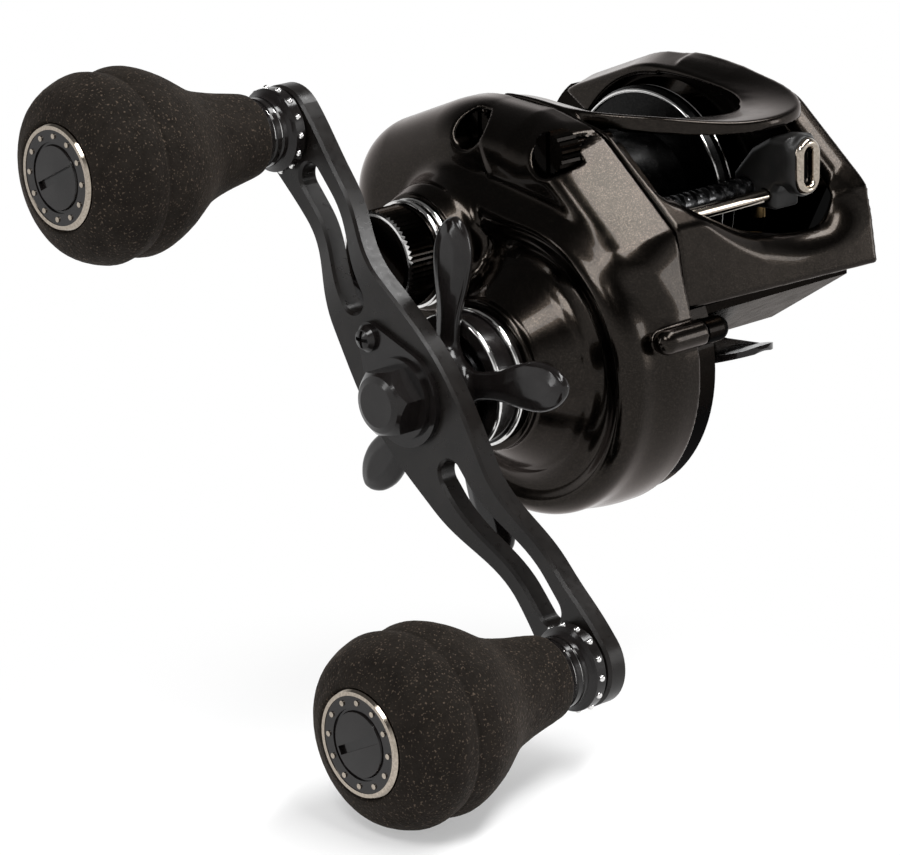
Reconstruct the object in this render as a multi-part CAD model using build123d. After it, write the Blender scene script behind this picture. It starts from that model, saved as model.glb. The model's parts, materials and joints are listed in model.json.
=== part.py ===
from build123d import *
import os
from math import acos, atan2, cos, degrees, hypot, pi, radians, sin, tan

os.makedirs("parts", exist_ok=True)

# A low-profile baitcasting reel, in millimetres. +X is the handle side, +Y is the way the line
# leaves, +Z is up. The origin is the middle of the underside of the foot that clamps to a rod.

# Axes that run along X, as (Y, Z)
SPOOL = (-2.0, 22.2)
DRIVE = (15.5, 5.5)
WORM = (26.4, 28.4)
GUIDE_ROD = (30.8, 28.2)
BARREL = (41.7, 12.7)
REAR = (-17.5, 25.5)

# Planes across X
SEAM_X = 21.0
PLATE_X = 17.0
GEARBOX_FACE_X = 37.0
COVER_FACE_X = 33.0
PALM_FACE_X = -31.0
WALL = 2.0
SEAM_BEVEL = 0.3
DOME_R = 8.0

# Outline radii of the body
SPOOL_HOUSING_R = 22.7
REAR_R = 14.0
GEAR_HOUSING_R = 25.5
CAST_HOUSING_R = 12.0
BARREL_R = 2.1

# Screws of the side cover: hand screws in two seats, and small screws from behind
SCREW_SEATS = {"rear": (-0.3, 40.9), "front": (18.4, 39.9)}
SEAT_R = {"rear": 3.1, "front": 3.8}
SEAT_X = 27.0
HAND_SCREW_R = 1.44
SCREW_R = 0.8

# Spool
SPOOL_R = 18.4
SPOOL_ARBOR_R = 11.2
SPOOL_RIGHT_X = 14.0
SPOOL_LEFT_X = -13.5
SPOOL_SHAFT_R = 1.5
SPOOL_GAP = 0.5
RIM_R = 19.8

# Gears
DRIVE_TEETH = 56
PINION_TEETH = 9
GEAR_FACE_X = (26.0, 31.0)
LINE_GEAR_TEETH = 34
IDLER_TEETH = 20
WORM_TEETH = 12
LINE_MODULE = 0.6
LINE_GEAR_X = (23.8, 25.6)
IDLER_PIN_R = 1.25
WORM_R = 2.2
WORM_JOURNAL_R = 1.5
BUSH_R = 3.2
GUIDE_ROD_R = 1.1
PAWL_R = 1.2

# Drive shaft and the boss around it
SHAFT_R = 3.0
SHAFT_STEP_X = 57.2
SHAFT_END_X = 65.0
STUD_R = 2.6
SLEEVE_R = 5.0
BOSS_BORE_R = 9.0
BOSS_R = 10.9
BOSS_END_X = 51.0
RUNNING = 0.06

# Handle
HANDLE_ANGLE = -48.46
KNOB_OFFSET = 50.0
ARM_END_X = 56.0
ARM_HUB_X = 60.5
ARM_THICK = 3.3
ARM_HUB_R = 10.3
ARM_END_R = 6.9
ARM_SLOT = 4.8
ARM_LEVEL = (17.0, 36.0)
ARM_BEVEL = 0.45
SPINDLE_R = 2.0
RETAINER_SCREW_U = -11.2
RETAINER_SCREW_R = 0.9

# Star drag wheel
STAR_ARMS = 5
STAR_TIP_R = 28.4
STAR_ANGLE = 11.0
STAR_HUB_R = 7.0
STAR_X = (50.9, 53.5)

# Cast control cap on the spool axis
CAP_R = 8.4
CAP_X = (44.5, 50.3)
CAP_TEETH = 60
CAST_NECK_R = 8.2

# Line guide, at its place in the photograph near the palm side
GUIDE_X = -9.0
GUIDE_HALF = 3.4
EYE = (37.2, 33.5)
EYE_HEIGHT = 9.4
EYE_WIDTH = 5.4

# Foot
FOOT_WIDTH = 13.0
FOOT_THICK = 2.2
FOOT_FRONT_Y = 36.0
FOOT_REAR_Y = -30.0
FOOT_END_R = 5.2
FOOT_SCREW_Y = (-14.0, 12.0)


def at_x(x):
    """Sketch plane square to X, drawn in (Y, Z)."""
    return Plane.YZ.offset(x)


def slab(sketch, x0, x1):
    """A (Y, Z) sketch pulled along X from x0 to x1."""
    return extrude(at_x(x0) * sketch, x1 - x0)


def disc(centre, radius, x0, x1):
    return slab(Pos(*centre) * Circle(radius), x0, x1)


def ring(centre, outer, inner, x0, x1):
    return disc(centre, outer, x0, x1) - disc(centre, inner, x0 - 1, x1 + 1)


def turned(points, centre):
    """Solid of revolution about an axis along X, from (x, radius) points."""
    face = make_face(Polyline(*points, close=True))
    return Pos(0, *centre) * revolve(face, Axis.X)


def hull(*circles):
    """Outline stretched around circles given as (centre, radius)."""
    edges = [(Pos(*centre) * Circle(radius)).edge() for centre, radius in circles]
    return make_hull(edges)


def polar(centre, radius, angle):
    return (centre[0] + radius * cos(radians(angle)), centre[1] + radius * sin(radians(angle)))


def polygon(*points):
    return make_face(Polyline(*points, close=True))


def group(shapes):
    return Compound(children=list(shapes))


def save(name, shape):
    export_step(shape, f"parts/{name}.step")


# Gear geometry

def gear(teeth, module, phase, centre, x0, x1):
    """Spur gear with one tooth centred at the phase angle, in radians from +Y towards +Z."""
    pitch_r = teeth * module / 2
    tip_r = pitch_r + 0.8 * module
    root_r = pitch_r - 1.05 * module
    half = 0.40 * pi / teeth
    tip_half = half - 0.8 * module * tan(radians(20)) / tip_r
    root_half = half + 1.05 * module * tan(radians(20)) / root_r
    points = []
    for i in range(teeth):
        middle = phase + 2 * pi * i / teeth
        flank = ((root_r, -root_half), (tip_r, -tip_half), (tip_r, tip_half), (root_r, root_half))
        for radius, shift in flank:
            points.append((radius * cos(middle + shift), radius * sin(middle + shift)))
    return slab(Pos(*centre) * polygon(*points), x0, x1)


def meshed_phase(teeth, phase, direction, next_teeth):
    """Phase of the next gear, whose gap faces this gear's tooth along the line of centres."""
    fraction = (direction - phase) * teeth / (2 * pi)
    return direction + pi - (0.5 - fraction) * 2 * pi / next_teeth


def direction(start, end):
    return atan2(end[1] - start[1], end[0] - start[0])


def distance(start, end):
    return hypot(end[0] - start[0], end[1] - start[1])


GEAR_CENTRES = distance(DRIVE, SPOOL)
GEAR_MODULE = 2 * GEAR_CENTRES / (DRIVE_TEETH + PINION_TEETH)
DRIVE_PHASE = direction(DRIVE, SPOOL)
PINION_PHASE = meshed_phase(DRIVE_TEETH, DRIVE_PHASE, DRIVE_PHASE, PINION_TEETH)

LINE_GEAR_R = LINE_GEAR_TEETH * LINE_MODULE / 2
IDLER_R = IDLER_TEETH * LINE_MODULE / 2
WORM_GEAR_R = WORM_TEETH * LINE_MODULE / 2


def idler_centre():
    """Where the idler meshes with both the drive shaft's gear and the worm's gear."""
    span = distance(DRIVE, WORM)
    near = LINE_GEAR_R + IDLER_R
    far = IDLER_R + WORM_GEAR_R
    turn = acos((near ** 2 + span ** 2 - far ** 2) / (2 * near * span))
    angle = direction(DRIVE, WORM) + turn
    return (DRIVE[0] + near * cos(angle), DRIVE[1] + near * sin(angle))


IDLER = idler_centre()
LINE_GEAR_PHASE = direction(DRIVE, IDLER)
IDLER_PHASE = meshed_phase(LINE_GEAR_TEETH, LINE_GEAR_PHASE, LINE_GEAR_PHASE, IDLER_TEETH)
WORM_PHASE = meshed_phase(IDLER_TEETH, IDLER_PHASE, direction(IDLER, WORM), WORM_TEETH)

# Outlines of the body, in (Y, Z). The front slopes from the thumb rest down to the lip, and the
# lip stands a little further forward on the palm side than on the gear side.

BROW_R = 8.0
LIP_R = 2.0
NEAR_FRONT = [(9.5, 44.3), (21.0, 41.8), (36.8, 28.6), (38.9, 15.7)]
FAR_FRONT = [(12.5, 44.8), (24.8, 42.0), (39.7, 30.0), (42.0, 15.7)]
NEAR_INNER = [(9.5, 42.1), (20.2, 39.3), (33.6, 27.6), (34.8, 10.0)]
FAR_INNER = [(12.5, 42.6), (24.0, 39.5), (36.4, 29.0), (37.8, 10.0)]


# Front of the palm side: the frame's plate, and the round front of its cover, further back

PLATE_FRONT = [(2.0, 44.4), (21.0, 40.6), (35.0, 29.5), (30.0, 20.0), (10.0, 1.6)]
PALM_FRONT = (17.0, 26.0)
PALM_FRONT_R = 10.5
PALM_INSET = 0.8


def back_outline(inset, *others):
    """Long outline round the spool, which falls gently to a rounded rear."""
    return hull((SPOOL, SPOOL_HOUSING_R - inset), (REAR, REAR_R - inset), *others)


def gear_outline():
    """Gear side outline: the long back, round the drive gear, and the sloping front."""
    front = polygon((-2.0, 44.9), *NEAR_FRONT, DRIVE, SPOOL)
    for corner, radius in ((NEAR_FRONT[1], BROW_R), (NEAR_FRONT[2], LIP_R)):
        front = fillet(front.vertices().sort_by_distance((*corner, 0))[0], radius)
    return back_outline(0, (DRIVE, GEAR_HOUSING_R)) + front


def plate_outline():
    return back_outline(0) + polygon(*PLATE_FRONT, SPOOL)


def palm_outline():
    return back_outline(PALM_INSET, (PALM_FRONT, PALM_FRONT_R))


def gearbox_outline(inset):
    return hull((SPOOL, CAST_HOUSING_R - inset), (DRIVE, GEAR_HOUSING_R - inset))


def end_edges(shape, x):
    """Edges that lie in the plane at this X."""
    return shape.edges().filter_by_position(Axis.X, x - 0.01, x + 0.01)


# Housing

def barrel(x0, x1):
    """One half of the round barrel that carries the front screw of the side cover."""
    return disc(BARREL, BARREL_R, x0, x1)


# Flat of the cover's front slope, turned a little outwards

SLOPE_FACET = Plane((SEAM_X, 28.9, 35.2), z_dir=(0.3, 0.611, 0.733))


def gear_side_cover():
    dome = slab(gear_outline(), SEAM_X, COVER_FACE_X)
    dome = fillet(end_edges(dome, COVER_FACE_X), DOME_R)
    dome = chamfer(end_edges(dome, SEAM_X), SEAM_BEVEL)
    dome -= extrude(SLOPE_FACET * Rectangle(90, 90), 20)
    box = slab(gearbox_outline(0), SEAM_X, GEARBOX_FACE_X)
    box = fillet(end_edges(box, GEARBOX_FACE_X), 4.0)
    cone = turned([(SEAM_X, 0), (SEAM_X, 17.1), (37.7, 17.1), (43.0, 12.4), (44.6, 12.4), (44.6, 0)], DRIVE)
    boss = turned([(SEAM_X, 0), (SEAM_X, 10.8), (39.0, 10.8), (41.4, 9.6), (41.4, CAST_NECK_R),
                   (CAP_X[0] - 0.3, CAST_NECK_R), (CAP_X[0] - 0.3, 0)], SPOOL)
    knuckle = barrel(SEAM_X, 28.7) + Pos(28.7, *BARREL) * Sphere(BARREL_R)
    cover = dome + box + cone + boss + knuckle
    cover -= slab(gearbox_outline(WALL), SEAM_X - 1, 34.6)
    cover -= slab(offset(gear_outline(), -2.4), SEAM_X - 1, 25.5)
    cover -= disc(DRIVE, BOSS_BORE_R, 38.8, 60)
    cover -= disc(DRIVE, 6.2, 30, 60)
    cover -= disc(SPOOL, 9.0, SEAM_X - 1, 37.8)
    cover -= disc(SPOOL, 2.6, 30, 60)
    cover -= disc(SPOOL, 4.0, 38.9, 60)
    cover -= disc(WORM, 4.4, SEAM_X - 1, 26.3)
    for side, seat in SCREW_SEATS.items():
        cover -= disc(seat, SEAT_R[side], SEAT_X, 60)
        cover -= disc(seat, 1.6, SEAM_X - 1, 60)
    for point in COVER_SCREWS:
        cover += disc(point, 1.7, SEAM_X, 31.0)
        cover -= disc(point, SCREW_R, SEAM_X - 1, 27.0)
    cover -= disc(BARREL, SCREW_R, SEAM_X - 1, 27.0)
    return cover


COVER_SCREWS = [polar(DRIVE, 23.4, angle) for angle in (-115.0, -50.0)]


def arc_floor():
    """Curved floor under the spool, between the side plates."""
    wedge = polygon(SPOOL, *[polar(SPOOL, 60, angle) for angle in (205, 250, 290, 318)])
    shell = ring(SPOOL, SPOOL_R + 1.6, SPOOL_R + SPOOL_GAP, -PLATE_X, PLATE_X)
    return shell & slab(wedge, -PLATE_X, PLATE_X)


def hood_block(near, far):
    """Solid between the hood's gear side and palm side outlines."""
    sections = []
    for x, points in ((-SEAM_X, far), (SEAM_X, near)):
        sections.append(at_x(x) * polygon(*points, (points[0][0], points[-1][1])))
    return loft(sections, ruled=True)


def rounded_block():
    """The hood's outer form, with its brow and its lip rounded."""
    block = hood_block(NEAR_FRONT, FAR_FRONT)
    for index, radius in ((1, BROW_R), (2, LIP_R)):
        middle = [(near + far) / 2 for near, far in zip(NEAR_FRONT[index], FAR_FRONT[index])]
        block = fillet(block.edges().sort_by_distance((0, *middle))[0], radius)
    return block


def frame():
    outer = rounded_block()
    inner = hood_block(NEAR_INNER, FAR_INNER)
    right = slab(gear_outline(), PLATE_X, SEAM_X)
    right = chamfer(end_edges(right, SEAM_X), SEAM_BEVEL) - outer
    right += slab(offset(gear_outline(), -WALL), PLATE_X, SEAM_X) & inner
    left = slab(plate_outline(), -SEAM_X, -PLATE_X)
    left = chamfer(end_edges(left, -SEAM_X), SEAM_BEVEL) - outer
    left += slab(plate_outline(), -SEAM_X, -PLATE_X) & inner
    left -= disc(SPOOL, SPOOL_R + 0.8, -30, 0)
    body = right + left + arc_floor()
    pedestal = Pos(0, -1.0, 6.0) * Box(12.0, 40.0, 7.6)
    body += pedestal - disc(SPOOL, SPOOL_R + SPOOL_GAP, -30, 30)
    nose = polygon((38.7, 15.6), (38.7, 14.2), (22.0, 3.6), (4.0, 2.6), (4.0, 4.0), (21.5, 5.4), (36.6, 15.6))
    body += slab(nose, -PLATE_X, PLATE_X)
    body += slab(polygon((-25.0, 8.0), (-19.5, 6.0), (-19.0, 9.5), (-23.4, 14.0)), -PLATE_X, PLATE_X)
    body += barrel(17.7, SEAM_X) + Pos(17.7, *BARREL) * Sphere(BARREL_R)
    body -= disc(DRIVE, 6.0, 17.3, 30)
    body -= disc(DRIVE, 3.6, PLATE_X - 0.5, 30)
    body -= disc(SPOOL, 6.0, 17.3, 30)
    body -= disc(SPOOL, 4.2, 10, 30)
    for x0 in (PLATE_X - 1, -SEAM_X - 1):
        body -= disc(WORM, BUSH_R, x0, x0 + 6)
        body -= disc(GUIDE_ROD, GUIDE_ROD_R, x0, x0 + 6)
    body -= disc(IDLER, IDLER_PIN_R, PLATE_X, 30)
    body -= slab(Pos(-23.6, 25.0) * Rectangle(2.6, 13.0), PLATE_X - 1, SEAM_X + 1)
    for seat in SCREW_SEATS.values():
        body -= disc(seat, 1.5, 10, 30)
    for point in COVER_SCREWS:
        body -= disc(point, SCREW_R, 10, 30)
        body -= disc(point, 1.6, 10, 18.6)
    body -= disc(BARREL, SCREW_R, 17.0, 30)
    for y in FOOT_SCREW_Y:
        body -= Pos(0, y, 0) * Cylinder(1.0, 9.6)
    body -= above_thumb_rest()
    body -= slab(back_sector(), -SEAM_X, SEAM_X) - disc(SPOOL, RIM_R, -30, 30)
    return body - front_hood()


# Plan of the thumb rest: a loop around the spool opening, with a rounded nose

NOSE = [
    (20.6, -2.0), (20.6, 9.0), (18.6, 16.0), (13.4, 23.6), (7.4, 29.6), (0.0, 32.9), (-8.0, 33.4),
    (-15.0, 30.6), (-19.2, 22.0), (-20.6, 10.0), (-20.6, -2.0),
]
OPENING = [
    (13.8, -30.0), (13.8, 8.0), (12.4, 17.6), (7.0, 21.0), (-1.0, 21.4), (-8.6, 20.8),
    (-12.6, 16.0), (-14.2, 4.0), (-14.6, -30.0),
]
NOSE_R = 0.8


def closed_curve(points):
    """Face inside a smooth curve through the points, closed by a straight line."""
    curve = Spline(*points)
    return make_face([curve, Line(points[-1], points[0])])


# Rows of the thumb rest's hollowed top: Y, height of the crest, depth of the hollow, middle X, half width

TOP_ROWS = [
    (-2.0, 44.9, 2.5, 1.0, 20.6),
    (5.0, 45.0, 3.3, 1.0, 20.6),
    (12.3, 44.8, 3.9, 0.6, 19.9),
    (19.8, 43.9, 2.6, -1.4, 17.4),
    (26.6, 42.9, 1.4, -3.9, 14.2),
    (31.2, 42.4, 0.6, -5.0, 9.5),
    (36.0, 41.4, 0.2, -5.0, 9.5),
]
TOP_STEP = 5.5
TOP_REACH = 22.0
MAX_RISE = 1.4
RIM_FALL = 1.3


def above_thumb_rest():
    """Solid above the thumb rest, whose under face is the hollowed top."""
    grid = []
    for y, crest, hollow, middle, half in TOP_ROWS:
        row = []
        for i in range(9):
            x = TOP_STEP * i - TOP_REACH
            rise = min(((x - middle) / half) ** 2, MAX_RISE) - 1
            row.append(Vector(x, y, crest + hollow * rise))
        grid.append(row)
    return extrude(Face.make_surface_from_array_of_points(grid), 20, dir=(0, 0, 1))


def back_sector():
    """Sector behind the top of the spool, filled by the thumb rest's rims."""
    return polygon(SPOOL, *[polar(SPOOL, 40, angle) for angle in (90, 120, 148)])


def back_loop():
    """Two rims that carry the thumb rest on round the back of the spool opening, falling inwards."""
    rims = []
    for edge, inner in ((SEAM_X, 13.8), (-SEAM_X, -14.6)):
        sections = [at_x(inner) * back_outline(RIM_FALL), at_x(edge) * back_outline(0)]
        rims.append(loft(sections, ruled=True))
    loop = rims[0] + rims[1] - disc(SPOOL, RIM_R, -30, 30)
    return loop & slab(back_sector(), -SEAM_X, SEAM_X)


def thumb_rest():
    """Loop around the spool opening, hollowed for the thumb and falling towards the nose."""
    loop = extrude(closed_curve(NOSE), 60)
    crown = Spline((-2.0, 45.4), (9.0, 45.2), (20.0, 44.1), (36.0, 41.6))
    sole = Spline((-2.0, 42.0), (9.0, 41.6), (20.0, 40.7), (36.0, 39.0))
    band = make_face([crown, Line((36.0, 41.6), (36.0, 39.0)), sole, Line((-2.0, 42.0), (-2.0, 45.4))])
    rest = loop & slab(band, -SEAM_X, SEAM_X)
    rest = fillet(rest.edges().sort_by(SortBy.LENGTH)[-2:], NOSE_R)
    return rest - above_thumb_rest()


# Lower edge of the front window, as (X, Z): at the front of the lip, and further in behind it

LIP_FRONT_Y = 42.0
LIP_FRONT = [
    (20.6, 45.0), (20.6, 32.0), (19.4, 28.2), (16.5, 26.6), (9.4, 24.9), (2.2, 23.2), (-5.2, 22.3),
    (-10.9, 22.6), (-15.8, 23.9), (-19.0, 26.6), (-19.6, 32.0), (-19.0, 45.0),
]
LIP_BACK_Y = 34.0
LIP_BACK = [
    (19.8, 45.0), (19.8, 36.0), (16.6, 31.4), (11.8, 27.6), (5.4, 25.3), (0.0, 24.1), (-5.0, 23.2),
    (-9.4, 23.1), (-12.8, 24.2), (-14.6, 28.0), (-15.4, 33.0), (-14.4, 45.0),
]
WINDOW_TOP = 39.4


def window():
    """Front window for the line, whose lower edge dips in the middle and opens out to the front."""
    sections = []
    for y, points in ((LIP_BACK_Y, LIP_BACK), (LIP_FRONT_Y, LIP_FRONT)):
        sections.append(Plane.XZ.offset(-y) * closed_curve(points))
    mouth = loft(sections)
    throat = extrude(Plane.XZ.offset(-LIP_BACK_Y) * closed_curve(LIP_BACK), 22.0)
    below = Pos(0, 30, WINDOW_TOP - 30) * Box(60, 60, 60)
    return (mouth + throat) & below


def front_hood():
    shell = rounded_block() - hood_block(NEAR_INNER, FAR_INNER)
    shell -= window()
    shell -= above_thumb_rest()
    hood = shell + thumb_rest() + back_loop()
    hood -= extrude(closed_curve(OPENING), 60)
    hood -= slab(gear_outline(), SEAM_X, SEAM_X + 5)
    hood -= disc(SPOOL, SPOOL_R + 1.2, -16.0, 16.0)
    for seat in SCREW_SEATS.values():
        hood -= disc(seat, 1.5, 10, 30)
    return hood


def palm_side_cover():
    shell = slab(palm_outline(), PALM_FACE_X, -SEAM_X)
    shell = fillet(end_edges(shell, PALM_FACE_X), 7.0)
    shell -= slab(offset(palm_outline(), -2.6), -24.5, 0)
    shell -= disc(SPOOL, 15.0, -28.4, 0)
    hub = ring(SPOOL, 6.2, 4.0, -29.0, -21.4)
    cover = shell + hub
    cover -= disc(SPOOL, 10.6, -40, -29.6)
    cover -= disc(SPOOL, 3.05, -40, -20)
    return cover


def reel_foot():
    """Slim plate whose hollowed ends slide under the hoods of a reel seat; the front end turns up."""
    front_end = (0, FOOT_FRONT_Y - FOOT_END_R)
    rear_end = (0, FOOT_REAR_Y + FOOT_END_R)
    corners = [((x, y), 3.0) for x in (3.5, -3.5) for y in (17.0, -17.0)]
    plan = Rectangle(FOOT_WIDTH, 38.0) + hull((front_end, FOOT_END_R), *corners, (rear_end, FOOT_END_R))
    side = polygon((FOOT_REAR_Y, 0), (FOOT_REAR_Y, FOOT_THICK), (22.0, FOOT_THICK), (30.0, 3.1),
                   (34.6, 4.4), (35.6, 4.9), (FOOT_FRONT_Y, 4.4), (35.6, 3.7), (29.5, 1.7), (21.0, 0))
    plate = slab(side, -FOOT_WIDTH / 2, FOOT_WIDTH / 2) & extrude(plan, 10)
    plate -= Pos(0, -30.0, -16.6) * Rot(94.0, 0, 0) * Cylinder(18.0, 26.0)
    plate -= Pos(0, 33.0, -5.6) * Rot(104.0, 0, 0) * Cylinder(8.6, 18.0)
    for y in FOOT_SCREW_Y:
        plate -= Pos(0, y, 0) * Cylinder(1.2, 10.0)
        plate -= Pos(0, y, 0) * Cylinder(2.3, 2.0)
    return plate


def foot_screws():
    screws = []
    for y in FOOT_SCREW_Y:
        head = Pos(0, y, 0.55) * Cylinder(2.2, 0.9)
        shank = Pos(0, y, 2.9) * Cylinder(1.0, 3.8)
        slot = Pos(0, y, 0.2) * Box(0.6, 5.0, 0.6)
        screws.append(head + shank - slot)
    return group(screws)


def cover_screws():
    screws = []
    for point in COVER_SCREWS:
        screws.append(disc(point, 1.5, 17.2, 18.6) + disc(point, SCREW_R, 18.6, 26.5))
    screws.append(disc(BARREL, SCREW_R, 17.4, 26.5))
    return group(screws)


def knurled(centre, outer, depth, count, x0, x1):
    """Cylinder with straight knurling along X."""
    points = []
    for i in range(2 * count):
        radius = outer if i % 2 else outer - depth
        points.append(polar((0, 0), radius, 180.0 * i / count))
    return slab(Pos(*centre) * polygon(*points), x0, x1)


def thumb_screw(side, head_end):
    """Hand screw that holds the side cover, with a knurled head and a coin slot."""
    seat = SCREW_SEATS[side]
    head = knurled(seat, SEAT_R[side] - 0.4, 0.3, 24, SEAT_X + 0.3, head_end)
    head -= Pos(head_end, *seat) * Box(1.6, 1.0, 9.0)
    return head + disc(seat, HAND_SCREW_R, 18.0, SEAT_X + 0.3)


# Drive boss and its bearings

def bearing_sleeve():
    sleeve = ring(DRIVE, BOSS_R, BOSS_BORE_R, 44.6, BOSS_END_X)
    return sleeve - ring(DRIVE, BOSS_R + 1, BOSS_R - 0.3, 46.4, 49.7)


def trim_rings():
    rings = [ring(DRIVE, 11.2, BOSS_R, x, x + 0.9) for x in (45.3, 50.0)]
    rings += [ring(SPOOL, 8.95, CAST_NECK_R, x, x + 0.8) for x in (41.5, 43.2)]
    return group(rings)


def ball_bearing(centre, outer, inner, x0, x1):
    """Closed ball bearing, with a shield groove in each face."""
    body = ring(centre, outer, inner, x0, x1)
    wall = (outer - inner) / 4
    for x in (x0 - 0.7, x1 - 0.3):
        body -= ring(centre, outer - wall, inner + wall, x, x + 1.0)
    return body


def one_way_clutch():
    body = ring(DRIVE, BOSS_BORE_R, SLEEVE_R + RUNNING, 39.0, 46.8)
    return body - ring(DRIVE, 7.6, 6.2, 38.0, 39.6)


def bearings():
    return group([
        ball_bearing(DRIVE, BOSS_BORE_R, SLEEVE_R + RUNNING, 47.0, 50.4),
        ball_bearing(DRIVE, 6.0, SHAFT_R + RUNNING, 17.3, 20.7),
        ball_bearing(SPOOL, 6.0, 3.0 + RUNNING, 17.3, 20.7),
        ball_bearing(SPOOL, 4.0, SPOOL_SHAFT_R + RUNNING, 39.0, 41.4),
        ball_bearing(SPOOL, 4.0, SPOOL_SHAFT_R + RUNNING, -24.6, -22.2),
    ])


def guide_rod():
    return disc(GUIDE_ROD, GUIDE_ROD_R, -20.5, 20.5)


def worm_bushes():
    return group([ring(WORM, BUSH_R, WORM_JOURNAL_R + RUNNING, x, x + 3.0) for x in (17.4, -20.4)])


def idler_pin():
    return disc(IDLER, IDLER_PIN_R, 17.4, 25.7)


def brake_ring():
    return ring(SPOOL, 14.0, 11.6, -28.4, -17.8)


# Drive train

def drive_shaft():
    shaft = disc(DRIVE, SHAFT_R, 17.4, SHAFT_STEP_X)
    shaft += disc(DRIVE, 6.4, 21.3, 22.3)
    shaft += disc(DRIVE, STUD_R, SHAFT_STEP_X, SHAFT_END_X)
    return shaft + gear(LINE_GEAR_TEETH, LINE_MODULE, LINE_GEAR_PHASE, DRIVE, *LINE_GEAR_X)


def ratchet_wheel():
    teeth = 14
    points = []
    for i in range(teeth):
        points.append(polar((0, 0), 9.4, 360.0 * i / teeth))
        points.append(polar((0, 0), 8.0, 360.0 * i / teeth + 4))
    return slab(Pos(*DRIVE) * (polygon(*points) - Circle(SHAFT_R)), 22.4, 23.6)


DRAG_R = 15.6


def drive_gear():
    body = gear(DRIVE_TEETH, GEAR_MODULE, DRIVE_PHASE, DRIVE, *GEAR_FACE_X)
    body -= disc(DRIVE, DRAG_R + 0.6, 27.5, 40)
    body -= disc(DRIVE, SHAFT_R, 20, 40)
    for i in range(6):
        body -= disc(polar(DRIVE, 9.5, 60 * i), 2.2, 20, 40)
    return body


def carbon_washers():
    return group([ring(DRIVE, DRAG_R, 4.4, x, x + 0.6) for x in (27.5, 28.9, 30.3)])


def drag_discs():
    thin = [ring(DRIVE, DRAG_R - 0.4, SHAFT_R, x, x + 0.8) for x in (28.1, 29.5)]
    return group(thin + [ring(DRIVE, 14.4, SHAFT_R, 30.9, 32.3)])


def drag_springs():
    """Pair of dished spring washers, back to back."""
    first = turned([(32.3, 3.2), (33.3, 5.8), (33.8, 5.8), (32.8, 3.2)], DRIVE)
    second = turned([(34.8, 3.2), (33.8, 5.8), (34.3, 5.8), (35.3, 3.2)], DRIVE)
    return group([first, second])


def clutch_sleeve():
    return ring(DRIVE, SLEEVE_R, SHAFT_R, 35.3, 51.2)


ALONG_HANDLE = (0, *polar((0, 0), 1, HANDLE_ANGLE))
HANDLE_PLANE = Plane((0, *DRIVE), x_dir=ALONG_HANDLE, z_dir=(1, 0, 0))
SIDE_PLANE = Plane((0, *DRIVE), x_dir=HANDLE_PLANE.x_dir, z_dir=-HANDLE_PLANE.y_dir)
KNOB_CENTRES = {
    "lower": polar(DRIVE, KNOB_OFFSET, HANDLE_ANGLE),
    "upper": polar(DRIVE, KNOB_OFFSET, HANDLE_ANGLE + 180),
}


def arm_outline():
    """Waisted outline of the double arm, with a round eye at each end."""
    half = [(16.0, 7.9), (29.0, 5.9), (40.0, 6.1), (KNOB_OFFSET, ARM_END_R)]
    edge = [(-u, v) for u, v in reversed(half)] + [(0.0, ARM_HUB_R)] + half
    top = Spline(*edge, tangents=((1, 0), (1, 0)))
    bottom = Spline(*[(u, -v) for u, v in edge], tangents=((1, 0), (1, 0)))
    ends = [Line((u, ARM_END_R), (u, -ARM_END_R)) for u in (-KNOB_OFFSET, KNOB_OFFSET)]
    face = make_face([top, bottom] + ends)
    for u in (-KNOB_OFFSET, KNOB_OFFSET):
        face += Pos(u, 0) * Circle(ARM_END_R)
    for start, end in ((-40.2, -18.4), (14.6, 40.2)):
        face -= Pos((start + end) / 2, 0) * SlotCenterToCenter(end - start, ARM_SLOT)
    return face


def arm_profile(x_shift):
    """Line of the arm seen from its edge: level at the hub, dropping to level ends."""
    end_x = ARM_END_X + x_shift
    hub_x = ARM_HUB_X + x_shift
    hub_u, end_u = ARM_LEVEL
    level = ((1, 0), (1, 0))
    return [
        Line((-60.0, end_x), (-end_u, end_x)),
        Spline((-end_u, end_x), (-hub_u, hub_x), tangents=level),
        Line((-hub_u, hub_x), (hub_u, hub_x)),
        Spline((hub_u, hub_x), (end_u, end_x), tangents=level),
        Line((end_u, end_x), (60.0, end_x)),
    ]


def rim_edges(shape):
    """Edges around the face that looks along +X, however many patches it has."""
    seen = {}
    for face in shape.faces():
        if face.normal_at().X > 0.8:
            for edge in face.edges():
                middle = edge.center()
                spot = (round(middle.X, 3), round(middle.Y, 3), round(middle.Z, 3))
                seen.setdefault(spot, []).append(edge)
    return [edges[0] for edges in seen.values() if len(edges) == 1]


def handle_arm():
    sides = [Line((u, ARM_END_X), (u, ARM_END_X - ARM_THICK)) for u in (-60.0, 60.0)]
    band = make_face(arm_profile(0) + arm_profile(-ARM_THICK) + sides)
    strip = extrude(SIDE_PLANE * band, 20, both=True)
    arm = extrude(HANDLE_PLANE.offset(40.0) * arm_outline(), 40.0) & strip
    arm = chamfer(rim_edges(arm), ARM_BEVEL)
    arm -= disc(DRIVE, STUD_R, 30, 80)
    arm -= disc(DRIVE, SHAFT_R, 30, SHAFT_STEP_X)
    for centre in KNOB_CENTRES.values():
        arm -= disc(centre, SPINDLE_R, 30, 80)
    arm -= extrude(HANDLE_PLANE.offset(50.0) * (Pos(RETAINER_SCREW_U, 0) * Circle(RETAINER_SCREW_R)), 30)
    return arm


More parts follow.
